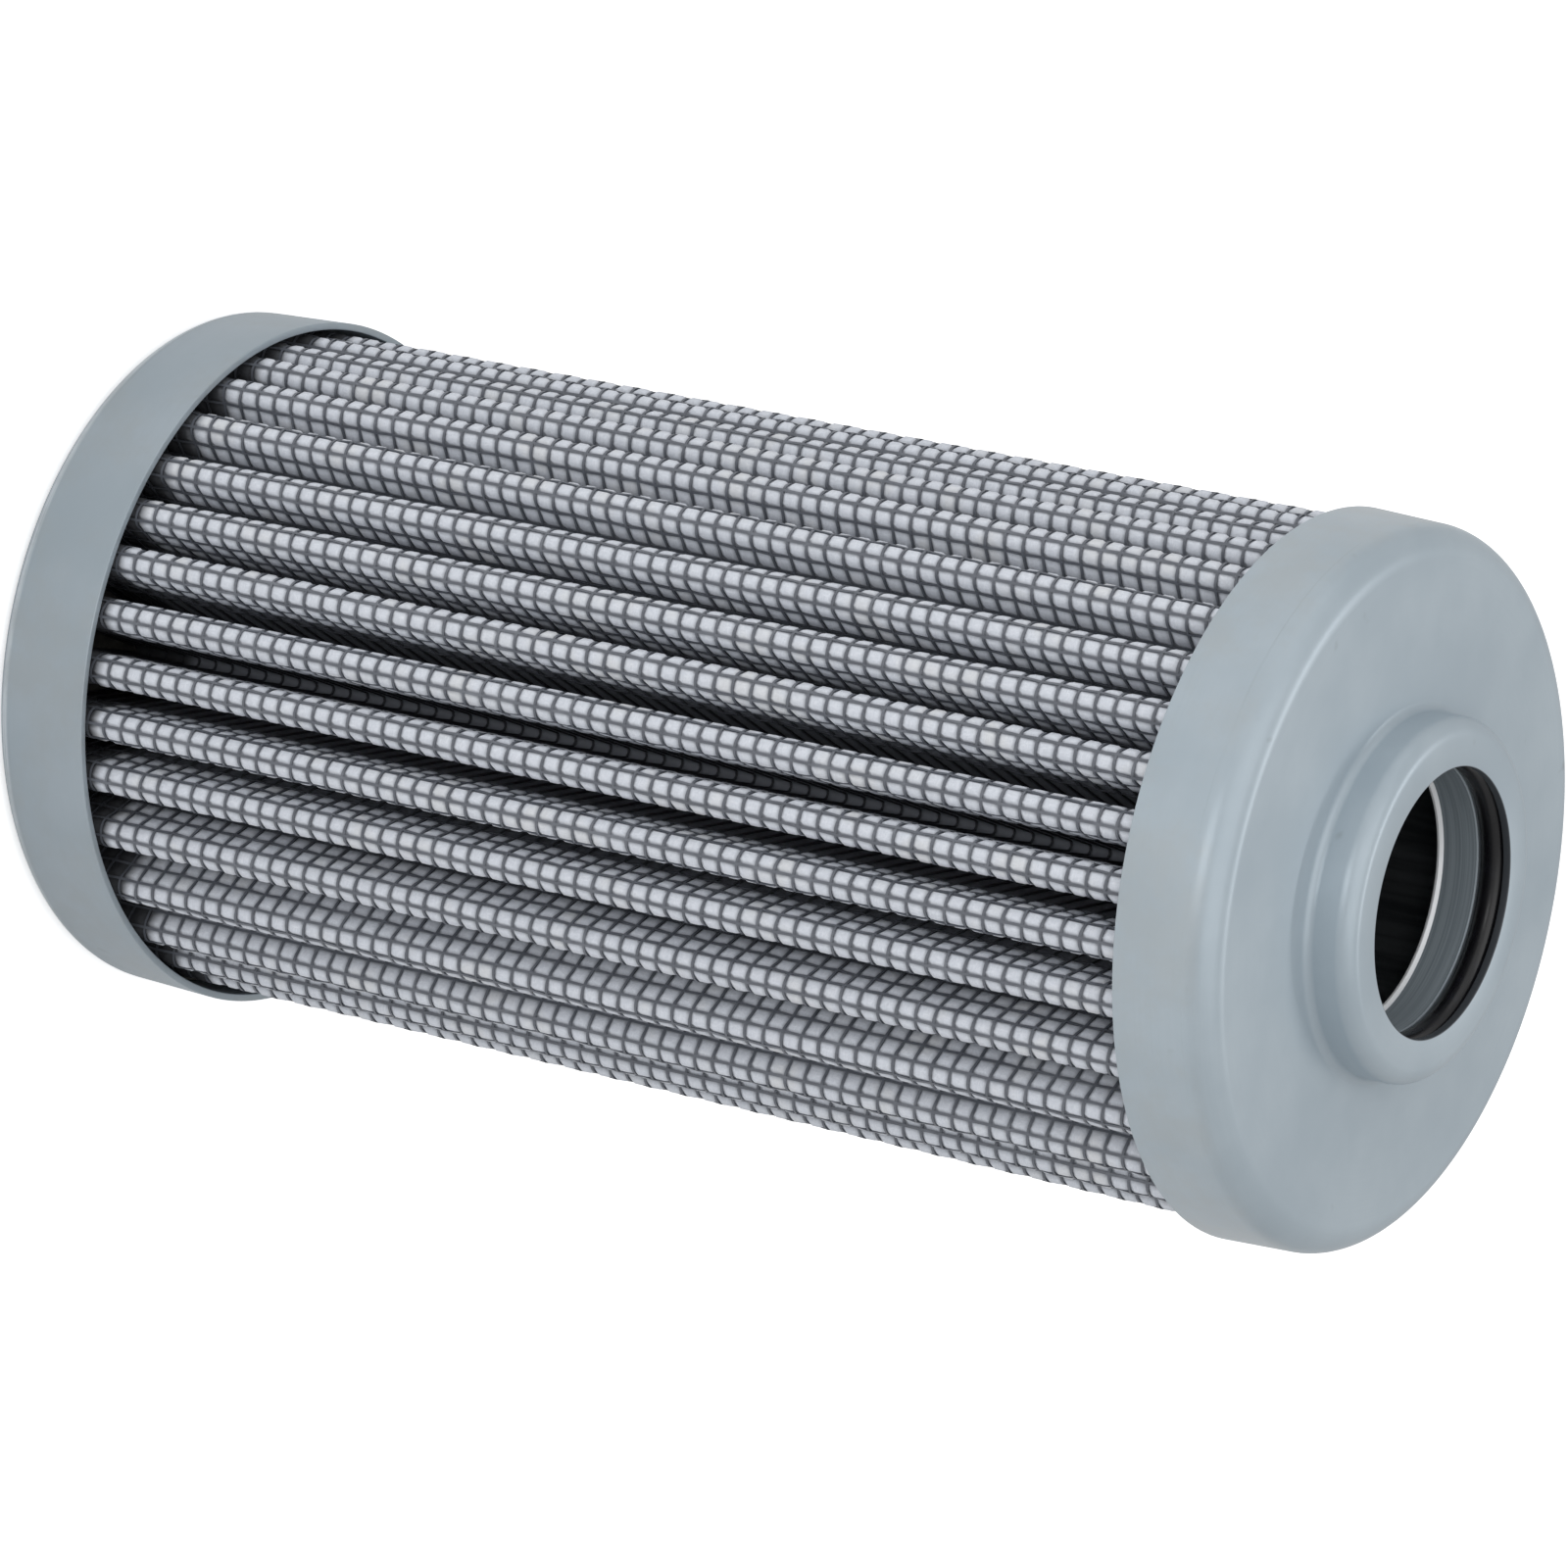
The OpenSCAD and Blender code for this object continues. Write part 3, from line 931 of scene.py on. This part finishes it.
@dataclass
class PleatPath:
    """The outside of the pleated web: crests, flanks and inner folds, as in the part's source."""

    size: Element
    pleats: int = 36
    fold_r: float = 0.25
    first_crest: float = 5.9
    crest_sway: float = 3.1
    sway_start: float = 22.9
    crest_swing: float = 1.5
    swing_start: float = 93.8
    crest_lean: float = 0.45
    lean_step: float = 84.0
    lean_start: float = -45.0
    crest_drop: float = 0.12
    drop_step: float = 99.0
    web: float = 0.92
    core_wall: float = 0.6
    fold_clear: float = 0.1
    seam_angle: float = 72.0
    seam_skip: float = 0.05

    @property
    def half_step(self) -> float:
        """Half the angle from one pleat to the next."""
        return 180.0 / self.pleats

    @property
    def crest_r(self) -> float:
        """Outside radius of a crest."""
        return self.web + self.fold_r

    @property
    def seam_pleat(self) -> int:
        """The pleat in which the web's ends meet."""
        return self.pleats // 4

    @property
    def clear_of_core(self) -> float:
        """Radius at which the folds begin, just outside the core tube."""
        return self.size.carrier_r + 2 * self.size.fit + self.core_wall

    @property
    def valley_r(self) -> float:
        """Outside radius of an inner fold."""
        share = math.sin(math.radians(self.half_step))
        return ((self.clear_of_core + self.web) * share - self.web - self.fold_clear / 2) / (1 - share)

    @property
    def valley_ring_r(self) -> float:
        """Radius on which the centres of the inner folds lie."""
        return self.clear_of_core + self.web + self.valley_r

    def crest_turn(self, pleat: int) -> float:
        """Angle of a crest round the axis.

        Args:
            pleat: The pleat's number.

        Returns:
            The angle in degrees.
        """
        even = pleat * 2 * self.half_step
        sway = self.crest_sway * math.cos(math.radians(2 * even + self.sway_start))
        swing = self.crest_swing * math.cos(math.radians(4 * even + self.swing_start))
        lean_turn = pleat % self.pleats * self.lean_step + self.lean_start
        lean = self.crest_lean * math.sin(math.radians(lean_turn))
        return self.first_crest + even + sway + swing + lean

    def crest_centre(self, pleat: int) -> Points:
        """Centre of a crest's arcs.

        Args:
            pleat: The pleat's number.

        Returns:
            The centre's x and y.
        """
        drop = self.crest_drop * (1 + math.sin(math.radians(pleat % self.pleats * self.drop_step))) / 2
        pack_r = self.size.face_r - self.size.sheet - self.size.fit
        return polar(pack_r - self.crest_r - drop, self.crest_turn(pleat))

    def valley_centre(self, valley: int) -> Points:
        """Centre of an inner fold's arcs."""
        return polar(self.valley_ring_r, self.first_crest + (2 * valley + 1) * self.half_step)

    def flank_normal(self, pleat: int, side: int) -> float:
        """Angle of the outward normal of a flank.

        Args:
            pleat: The pleat's number.
            side: 1 or -1, for the flank that faces the next or the last pleat.

        Returns:
            The angle in degrees.
        """
        way = self.valley_centre(pleat if side > 0 else pleat - 1) - self.crest_centre(pleat)
        turn = self.crest_turn(pleat) + 180.0
        across = math.degrees(math.atan2(way[1], way[0])) - turn
        across = (across + 180.0) % 360.0 - 180.0
        reach = math.degrees(math.acos((self.crest_r + self.valley_r) / np.linalg.norm(way)))
        return turn + across - side * reach - (360.0 if side < 0 else 0.0)

    def side(self, pleat: int, side: int, distance: Points, depth: Points) -> tuple[Points, Points]:
        """Points on one half of a pleat, from the top of its crest to the middle of its inner fold.

        Args:
            pleat: The pleat's number.
            side: 1 or -1, for the half that faces the next or the last pleat.
            distance: Distance along the outer surface from the crest's top.
            depth: Depth below the outer surface.

        Returns:
            The points and the outward normals, as rows of x and y.
        """
        normal = self.flank_normal(pleat, side)
        centre = self.crest_centre(pleat)
        valley = self.valley_centre(pleat if side > 0 else pleat - 1)
        crest_l, flank_l, _ = self.lengths(pleat, side)
        out = polar(1.0, normal)
        along = (valley - centre) - out * (self.crest_r + self.valley_r)
        along = along / np.linalg.norm(along)
        past = distance - crest_l - flank_l
        turn_crest = self.crest_turn(pleat) + side * np.degrees(np.clip(distance / self.crest_r, 0.0, None))
        turn_valley = normal + 180.0 - side * np.degrees(np.clip(past / self.valley_r, 0.0, None))
        on_crest = (distance <= crest_l)[:, None]
        in_valley = (past > 0)[:, None]
        deep = depth[:, None]
        crest_p = centre + polar(1.0, turn_crest) * (self.crest_r - deep)
        flank_p = centre + out * (self.crest_r - deep) + along * (distance - crest_l)[:, None]
        valley_p = valley + polar(1.0, turn_valley) * (self.valley_r + deep)
        points = np.where(on_crest, crest_p, np.where(in_valley, valley_p, flank_p))
        below = np.where(in_valley, -polar(1.0, turn_valley), out)
        return points, np.where(on_crest, polar(1.0, turn_crest), below)

    def lengths(self, pleat: int, side: int) -> tuple[float, float, float]:
        """Lengths along the outer surface of one half of a pleat.

        Args:
            pleat: The pleat's number.
            side: 1 or -1, for the half that faces the next or the last pleat.

        Returns:
            The lengths of half the crest, of the flank and of half the inner fold.
        """
        normal = self.flank_normal(pleat, side)
        crest = math.radians(abs(normal - self.crest_turn(pleat))) * self.crest_r
        way = self.valley_centre(pleat if side > 0 else pleat - 1) - self.crest_centre(pleat)
        flank = math.sqrt(float(way @ way) - (self.crest_r + self.valley_r) ** 2)
        number = pleat if side > 0 else pleat - 1
        inward = self.first_crest + (2 * number + 1) * self.half_step + 180.0
        swing = abs((normal + 180.0 - inward + 180.0) % 360.0 - 180.0)
        return crest, flank, math.radians(swing) * self.valley_r

    def half_pleats(self, half: int) -> list[tuple[int, int]]:
        """The halves of pleats on one half of the pack.

        Args:
            half: 0 from the seam to the opposite fold, 1 from there back to the seam.

        Returns:
            Each pleat's number with its side, 1 or -1, in order round the pack.
        """
        seam = self.seam_pleat
        pairs = [(pleat, side) for pleat in range(seam, seam + self.pleats + 1) for side in (-1, 1)]
        return [pair for pair in pairs[1:-1] if (pair[0] > seam + self.pleats // 2) == bool(half)]

    @property
    def seam_start(self) -> float:
        """Distance from the seam crest's top at which the web begins."""
        return math.radians(self.seam_angle) * self.crest_r


@dataclass
class WebRow:
    """Stations along the web between the side seam and the opposite fold, each on one half of a pleat."""

    path: PleatPath
    stations: list[tuple[int, int, float, float]] = field(default_factory=list)

    def add(self, pleat: int, side: int, distance: float, lift: float) -> None:
        """Adds a station at a distance from a crest's top, with a value for its lift."""
        self.stations.append((pleat, side, distance, lift))

    def points(self, depth: Callable[[Points], Points]) -> tuple[Points, Points]:
        """Points at all stations.

        Args:
            depth: Gives the depths below the outer surface for the stations' lifts.

        Returns:
            The points and the outward normals, as rows of x and y.
        """
        table = np.array(self.stations, dtype=float)
        points = np.zeros((len(table), 2))
        normals = np.zeros((len(table), 2))
        depths = depth(table[:, 3])
        for pleat in np.unique(table[:, 0]).astype(int):
            for side in (-1, 1):
                rows = np.nonzero((table[:, 0] == pleat) & (table[:, 1] == side))[0]
                if len(rows):
                    points[rows], normals[rows] = self.path.side(pleat, side, table[rows, 2], depths[rows])
        return points, normals


@dataclass
class WireCloth:
    """Woven wire cloth on the outside of the pleats: rings of weft over and under lengthwise warp."""

    path: PleatPath
    finish: bpy.types.Material
    pitch: float = 1.411
    wire_d: float = 0.21
    centre_depth: float = 0.16
    weave: float = 0.05
    reach: int = 4
    bottom: float = 1.3
    top: float = 93.5
    sides: int = 3
    wire_start: float = 0.38
    wire_shift: float = -0.4
    wire_wander: float = 0.4
    wander_step: float = 80.0
    wander_start: float = 220.0
    slow_drift: float = 0.16
    quick_drift: float = 0.08
    crisp: float = 80.0

    @property
    def rows(self) -> int:
        """Pairs of rings between the ends of the web."""
        return int((self.top - self.bottom) / (2 * self.pitch))

    def phase(self, pleat: int) -> float:
        """Place of the first warp wire past a crest's top.

        Args:
            pleat: The pleat's number.

        Returns:
            The distance from the top as a share of the spacing.
        """
        number = pleat % self.path.pleats
        wander = self.wire_wander * math.sin(math.radians(number * self.wander_step + self.wander_start))
        return (self.wire_start + self.wire_shift * number + wander) % 1.0

    def crossings(self, pleat: int) -> list[tuple[int, float]]:
        """Number and signed distance from a crest's top of each warp wire that is woven in detail."""
        first = self.phase(pleat)
        return [(m, (first + m) * self.pitch) for m in range(-self.reach, self.reach)]

    def half_row(self, half: int, parity: int) -> WebRow:
        """Stations of a weft ring on one half of the pack.

        Args:
            half: 0 from the seam to the opposite fold, 1 from there back to the seam.
            parity: 0 or 1, for rings that pass over even or odd warp wires.

        Returns:
            The row of stations, each with its lift from -1 under a wire to 1 over it.
        """
        path = self.path
        row = WebRow(path)
        woven = (self.reach - 0.5) * self.pitch
        for pleat, side in path.half_pleats(half):
            crest, flank, fold = path.lengths(pleat, side)
            total = crest + flank + fold
            near = np.arange(0.0, crest + self.pitch / 4.0, self.pitch / 4.0)
            far = np.arange(near[-1] + self.pitch / 2.0, woven, self.pitch / 2.0)
            marks = sorted({*near, *far, crest + flank})
            marks += [total - fold / 2, total]
            if pleat % path.pleats == path.seam_pleat:
                marks = [path.seam_start] + [d for d in marks if d > path.seam_start + path.seam_skip]
            if side < 0:
                marks = marks[::-1]
            for distance in marks:
                if side > 0 and distance == 0.0:
                    continue
                signed = side * distance / self.pitch - self.phase(pleat)
                lift = math.cos(math.pi * signed) * (1 if parity == 0 else -1)
                fade = min(1.0, max(0.0, (woven - distance) / self.pitch))
                row.add(pleat, side, distance, lift * fade)
        return row

    def weft(self, half: int) -> bpy.types.Object:
        """One half of all weft rings.

        Args:
            half: 0 from the seam to the opposite fold, 1 from there back to the seam.

        Returns:
            The piece.
        """
        tubes = []
        wire_r = self.wire_d / 2
        for parity in (0, 1):
            row = self.half_row(half, parity)
            points, normals = row.points(lambda lift: self.centre_depth - self.weave * lift)
            height = self.bottom + self.pitch * (0.5 + parity)
            count = len(points)

            def wrap(place: Points, corner: Points) -> Points:
                """Lays the grid as a tube along the row.

                Args:
                    place: Numbers of the stations along the tube.
                    corner: Numbers of the corners round it.

                Returns:
                    Points in millimetres.
                """
                turn = corner / self.sides * math.tau + math.pi / self.sides
                base = points[place] + normals[place] * (wire_r * np.cos(turn))[:, None]
                wave = self.drift(points[place])
                return np.column_stack([base, height + wave + wire_r * np.sin(turn)])

            tubes.append(Bench.grid(f"weft_{half}_{parity}", count - 1, self.sides, wrap))
        piece = Bench.join(tubes, f"wire_weft_{half + 1}")
        Bench.edit(piece, Bench.weld, Bench.close_ends, Bench.face_outward)
        Bench.repeat_up(piece, self.rows, 2 * self.pitch, False)
        Bench.smooth(piece, self.crisp)
        return piece

    def drift(self, points: Points) -> Points:
        """How far the rings wander up and down round the pack."""
        turn = np.arctan2(points[:, 1], points[:, 0])
        return self.slow_drift * np.sin(2 * turn + 0.6) + self.quick_drift * np.sin(5 * turn)

    def warp(self) -> bpy.types.Object:
        """All lengthwise wires near the crests, built on one grid whose columns are the wires in turn.

        Returns:
            The piece.
        """
        path = self.path
        row = WebRow(path)
        for pleat in range(path.seam_pleat, path.seam_pleat + path.pleats):
            for number, distance in self.crossings(pleat):
                if pleat == path.seam_pleat and abs(distance) < path.seam_start + self.wire_d:
                    continue
                row.add(pleat, 1 if distance >= 0 else -1, abs(distance), 1 if number % 2 else -1)
        points, normals = row.points(lambda lift: np.full_like(lift, self.centre_depth))
        lifts = np.array([station[3] for station in row.stations], dtype=float)
        levels = 3
        count = len(row.stations)
        wire_r = self.wire_d / 2

        def wrap(column: Points, level: Points) -> Points:
            """Lays each group of columns as one wire over two rings.

            Args:
                column: Numbers of the columns, a group of corners for each wire.
                level: Numbers of the rings that the wires cross.

            Returns:
                Points in millimetres.
            """
            wire, corner = np.divmod(column, self.sides + 1)
            turn = corner / self.sides * math.tau + math.pi / self.sides
            lift = lifts[wire] * np.where(level % 2 == 0, -1.0, 1.0) * self.weave
            out = normals[wire]
            across = np.column_stack([-out[:, 1], out[:, 0]])
            base = points[wire] + out * (lift + wire_r * np.cos(turn))[:, None]
            base = base + across * (wire_r * np.sin(turn))[:, None]
            height = self.bottom + self.pitch * (0.5 + level) + self.drift(points[wire])
            return np.column_stack([base, height])

        piece = Bench.grid("wire_warp", count * (self.sides + 1) - 1, levels - 1, wrap)
        self._cut_between(piece)
        Bench.edit(piece, Bench.weld)
        Bench.repeat_up(piece, self.rows, 2 * self.pitch, True)
        Bench.edit(piece, Bench.close_ends, Bench.face_outward)
        Bench.smooth(piece, self.crisp)
        return piece

    def _cut_between(self, piece: bpy.types.Object) -> None:
        """Deletes the faces that join one wire of the grid to the next.

        Args:
            piece: The grid, laid as wires.
        """
        mesh = piece.data
        reach = self.wire_d * 1.5 * MM
        points = np.empty(len(mesh.vertices) * 3)
        mesh.vertices.foreach_get("co", points)
        corners = np.empty(len(mesh.polygons) * 4, dtype=np.int32)
        mesh.polygons.foreach_get("vertices", corners)
        spots = points.reshape(-1, 3)[corners.reshape(-1, 4)][:, :, :2]
        wide = np.linalg.norm(spots - spots.mean(axis=1, keepdims=True), axis=2).max(axis=1) * 2 > reach
        mesh.vertices.foreach_set("select", np.zeros(len(mesh.vertices), dtype=bool))
        mesh.edges.foreach_set("select", np.zeros(len(mesh.edges), dtype=bool))
        mesh.polygons.foreach_set("select", wide)
        Bench.pick(piece)
        bpy.context.tool_settings.mesh_select_mode = (False, False, True)
        bpy.ops.object.mode_set(mode="EDIT")
        bpy.ops.mesh.delete(type="FACE")
        bpy.ops.object.mode_set(mode="OBJECT")

    def build(self) -> None:
        """Builds the weft in two halves and the warp."""
        for piece in (self.weft(0), self.weft(1), self.warp()):
            Bench.hand_over(piece, self.finish, Slot.WIRE.value, "outer_wire_cloth")


@dataclass
class FleeceSkin:
    """The fleece under the wires, which swells through each opening of the cloth."""

    cloth: WireCloth
    finish: bpy.types.Material
    under_wire: float = 0.26
    crown: float = 0.06
    back: float = 0.36
    swelling: tuple = ((0.0, 0.0), (0.28, 1.0), (0.72, 1.0), (1.0, 0.0))
    plain_lift: float = 0.5
    crisp: float = 75.0

    def half_row(self, half: int) -> WebRow:
        """Stations of the fleece on one half of the pack.

        Args:
            half: 0 from the seam to the opposite fold, 1 from there back to the seam.

        Returns:
            The row of stations, each with its lift of 0 under a wire and 1 between wires.
        """
        path, pitch = self.cloth.path, self.cloth.pitch
        row = WebRow(path)
        for pleat, side in path.half_pleats(half):
            crest, flank, fold = path.lengths(pleat, side)
            phase = self.cloth.phase(pleat)
            marks: list[tuple[float, float]] = []
            for m in range(-self.cloth.reach - 1, self.cloth.reach + 1):
                for share, lift in self.swelling[:-1]:
                    distance = side * (m + phase + share) * pitch
                    if 0.0 <= distance < (self.cloth.reach - (lift > 0.0)) * pitch:
                        marks.append((distance, lift))
            total = crest + flank + fold
            marks += [(distance, self.plain_lift) for distance in (crest + flank, total - fold / 2, total)]
            if pleat % path.pleats == path.seam_pleat:
                marks = [mark for mark in marks if mark[0] > path.seam_start + path.seam_skip]
                marks.append((path.seam_start, self.plain_lift))
            for distance, lift in sorted(marks, reverse=side < 0):
                row.add(pleat, side, distance, lift)
        return row

    def skin(self, half: int) -> bpy.types.Object:
        """One half of the fleece: swelling outer face, plain inner face, closed at its ends.

        Args:
            half: 0 from the seam to the opposite fold, 1 from there back to the seam.

        Returns:
            The piece.
        """
        row = self.half_row(half)
        count = len(row.stations)
        pitch = self.cloth.pitch
        pressed, _ = row.points(lambda lift: np.full_like(lift, self.under_wire))
        raised, _ = row.points(lambda lift: self.under_wire - (self.under_wire - self.crown) * lift)
        inner, _ = row.points(lambda lift: np.full_like(lift, self.back))
        start = self.cloth.bottom + pitch * 0.5
        rows = 2 * self.cloth.rows
        drift = self.cloth.drift(pressed)
        shares, highs = np.array(self.swelling).T
        lifts = np.array([station[3] for station in row.stations])
        swells: list[Points] = []

        def outer(place: Points, level: Points) -> Points:
            """Lays one row of openings on the web.

            Args:
                place: Numbers of the stations along the web.
                level: Numbers of the levels between two rings.

            Returns:
                Points in millimetres.
            """
            flat = pressed[place] + (raised[place] - pressed[place]) * highs[level][:, None]
            swells.append(highs[level] * lifts[place])
            return np.column_stack([flat, start + drift[place] + shares[level] * pitch])

        piece = Bench.grid(f"fleece_{half}", count - 1, len(shares) - 1, outer)
        # the swell mark also drives the fleece's painted shade along the wires
        Bench.mark(piece, "swell", swells[0])
        Bench.repeat_up(piece, rows, pitch, True)

        bands = 5

        def lining(place: Points, level: Points) -> Points:
            """Lays the lining from the upper rim down the inside and round to the lower rim.

            Args:
                place: Numbers of the stations along the web.
                level: Numbers of the lining's edges on the way.

            Returns:
                Points in millimetres.
            """
            lower = start + drift[place]
            upper = lower + rows * pitch
            top, bottom = np.full_like(lower, self.cloth.top), np.full_like(lower, self.cloth.bottom)
            heights = np.stack([upper, top, top, bottom, bottom, lower])
            front, behind = pressed[place], inner[place]
            sheets = np.stack([front, front, behind, behind, front, front])
            column = np.arange(len(place))
            return np.column_stack([sheets[level, column], heights[level, column]])

        back = Bench.grid(f"fleece_back_{half}", count - 1, bands, lining)
        piece = Bench.join([piece, back], f"fleece_skin_{half + 1}")
        Bench.edit(piece, Bench.weld, Bench.close_ends, Bench.face_outward)
        Bench.smooth(piece, self.crisp)
        return piece

    def build(self) -> None:
        """Builds both halves of the fleece."""
        for half in (0, 1):
            Bench.hand_over(self.skin(half), self.finish, Slot.FLEECE.value, "outer_fleece")


@dataclass
class InnerParts:
    """The nodes that keep their solids: the core, the inner layers and the adhesive."""

    finishes: dict[str, bpy.types.Material]

    def build(self) -> None:
        """Gives each kept node its finish."""
        for node, finish in self.finishes.items():
            piece = frame["nodes"][node]
            piece.data.materials.clear()
            piece.data.materials.append(finish)
            LOG.info("%s keeps its solid", node)


@dataclass
class Studio:
    """Camera, soft lamps, pale floor and world."""

    camera_place: tuple = (-35.676, -438.594, 319.720)
    camera_turn: tuple = (-18.4808, -56.4052, 107.0570)
    lens: float = 179.0145
    sensor: float = 36.0
    clip: tuple = (0.01, 20.0)
    lamps: tuple = (
        ("key", (0.14, 0.60, 0.40), (0.80, 0.80), 0.8),
        ("fill", (0.40, -0.05, 0.60), (0.80, 0.80), 1.8),
        ("rim", (0.62, -0.04, -0.04), (0.02, 0.30), 0.44),
        ("side", (-0.240, 0.060, 0.550), (0.30, 0.24), 0.54),
    )
    aim: tuple = (0.0, 0.0, 0.047)
    ambient: float = 0.60
    floor_width: float = 8.0
    floor_glow: float = 0.55

    def camera(self) -> bpy.types.Object:
        """Adds the camera at the photograph's place.

        Returns:
            The camera.
        """
        data = bpy.data.cameras.new("camera")
        data.lens = self.lens
        data.sensor_width = self.sensor
        data.clip_start, data.clip_end = self.clip
        camera = bpy.data.objects.new("camera", data)
        bpy.context.scene.collection.objects.link(camera)
        camera.location = Vector(self.camera_place) * MM
        camera.rotation_euler = Euler([math.radians(turn) for turn in self.camera_turn], "XYZ")
        bpy.context.scene.camera = camera
        return camera

    def light(self, camera: bpy.types.Object) -> None:
        """Adds area lamps round the view, each given by its place across, up and towards the camera.

        Args:
            camera: The camera, whose turn the places follow.
        """
        view = camera.rotation_euler.to_matrix()
        for name, place, (width, height), power in self.lamps:
            data = bpy.data.lights.new(name, "AREA")
            data.shape = "RECTANGLE"
            data.size = width
            data.size_y = height
            data.energy = power
            lamp = bpy.data.objects.new(name, data)
            bpy.context.scene.collection.objects.link(lamp)
            back = Vector(place).normalized()
            across = Vector((0.0, 1.0, 0.0)).cross(back).normalized()
            turn = Matrix((across, back.cross(across), back)).transposed()
            lamp.location = Vector(self.aim) + view @ Vector(place)
            lamp.rotation_euler = (view @ turn).to_euler()

    def floor(self) -> None:
        """Adds the pale floor, which shows white and keeps a soft shadow."""
        Bench.clear_selection()
        bpy.ops.mesh.primitive_plane_add(size=self.floor_width, location=(0.0, 0.0, 0.0))
        floor = bpy.context.active_object
        floor.name = "floor"
        shader = Shader("pale_floor")
        seen = shader.node("ShaderNodeLightPath", {}, {}, "Is Camera Ray")
        black, white = (0.0, 0.0, 0.0, 1.0), (1.0, 1.0, 1.0, 1.0)
        paper = shader.noise(shader.place(), 30.0, 2.0, 0.5)
        base = shader.blend(paper, colour(246, 246, 246), colour(250, 250, 250))
        finish = shader.dress(base_color=base, roughness=0.95, emission_strength=self.floor_glow,
                              emission_color=shader.blend(seen, black, white))
        floor.data.materials.append(finish)

    def world(self) -> None:
        """Lights the scene softly from all round, and shows white behind it."""
        world = bpy.data.worlds.new("studio")
        bpy.context.scene.world = world
        world.use_nodes = True
        tree = world.node_tree
        tree.nodes.clear()
        output = tree.nodes.new("ShaderNodeOutputWorld")
        light = tree.nodes.new("ShaderNodeBackground")
        light.inputs["Strength"].default_value = self.ambient
        white = tree.nodes.new("ShaderNodeBackground")
        white.inputs["Strength"].default_value = 1.0
        mix = tree.nodes.new("ShaderNodeMixShader")
        path = tree.nodes.new("ShaderNodeLightPath")
        tree.links.new(path.outputs["Is Camera Ray"], mix.inputs[0])
        tree.links.new(light.outputs[0], mix.inputs[1])
        tree.links.new(white.outputs[0], mix.inputs[2])
        tree.links.new(mix.outputs[0], output.inputs["Surface"])

    def build(self) -> None:
        """Sets the whole stage."""
        bpy.context.scene.view_settings.view_transform = "Standard"
        self.light(self.camera())
        self.floor()
        self.world()


def main() -> None:
    """Builds the stage and every sub-assembly."""
    logging.basicConfig(level=logging.INFO, format="%(name)s %(message)s")
    Studio().build()
    size = Element()
    open_sheet = ZincSheet(size.body_l - size.open_corner, size.cap_r, size.bore_r).material()
    # the closed cap's darker colours are painted shade, and its corner band is painted highlight
    closed_sheet = ZincSheet(size.closed_corner, size.cap_r, NO_BORE, name="shaded_zinc_sheet", corner_highlight_amount=0.6,
                             pale=colour(166, 177, 185), deep=colour(157, 169, 177),
                             warm=colour(160, 167, 170)).material()
    turned = TurnedSteel(size.carrier_z + size.land_top).material()
    wire = CoatedWire().material()
    fleece = Fleece(size.closed_skirt).material()
    glass = GlassFibre().material()
    adhesive = PottingAdhesive().material()
    Caps(size, open_sheet, closed_sheet, turned, SealRubber().material()).build()
    cloth = WireCloth(PleatPath(size), wire)
    cloth.build()
    FleeceSkin(cloth, fleece).build()
    InnerParts({"core_tube": CoreSteel().material(), "prefilter_layer": glass, "fine_filter_layer": glass,
                "inner_fleece": fleece, "inner_wire_cloth": wire, "side_seam_strip": adhesive,
                "closed_end_adhesive": adhesive, "open_end_adhesive": adhesive}).build()


if __name__ == "__main__":
    main()
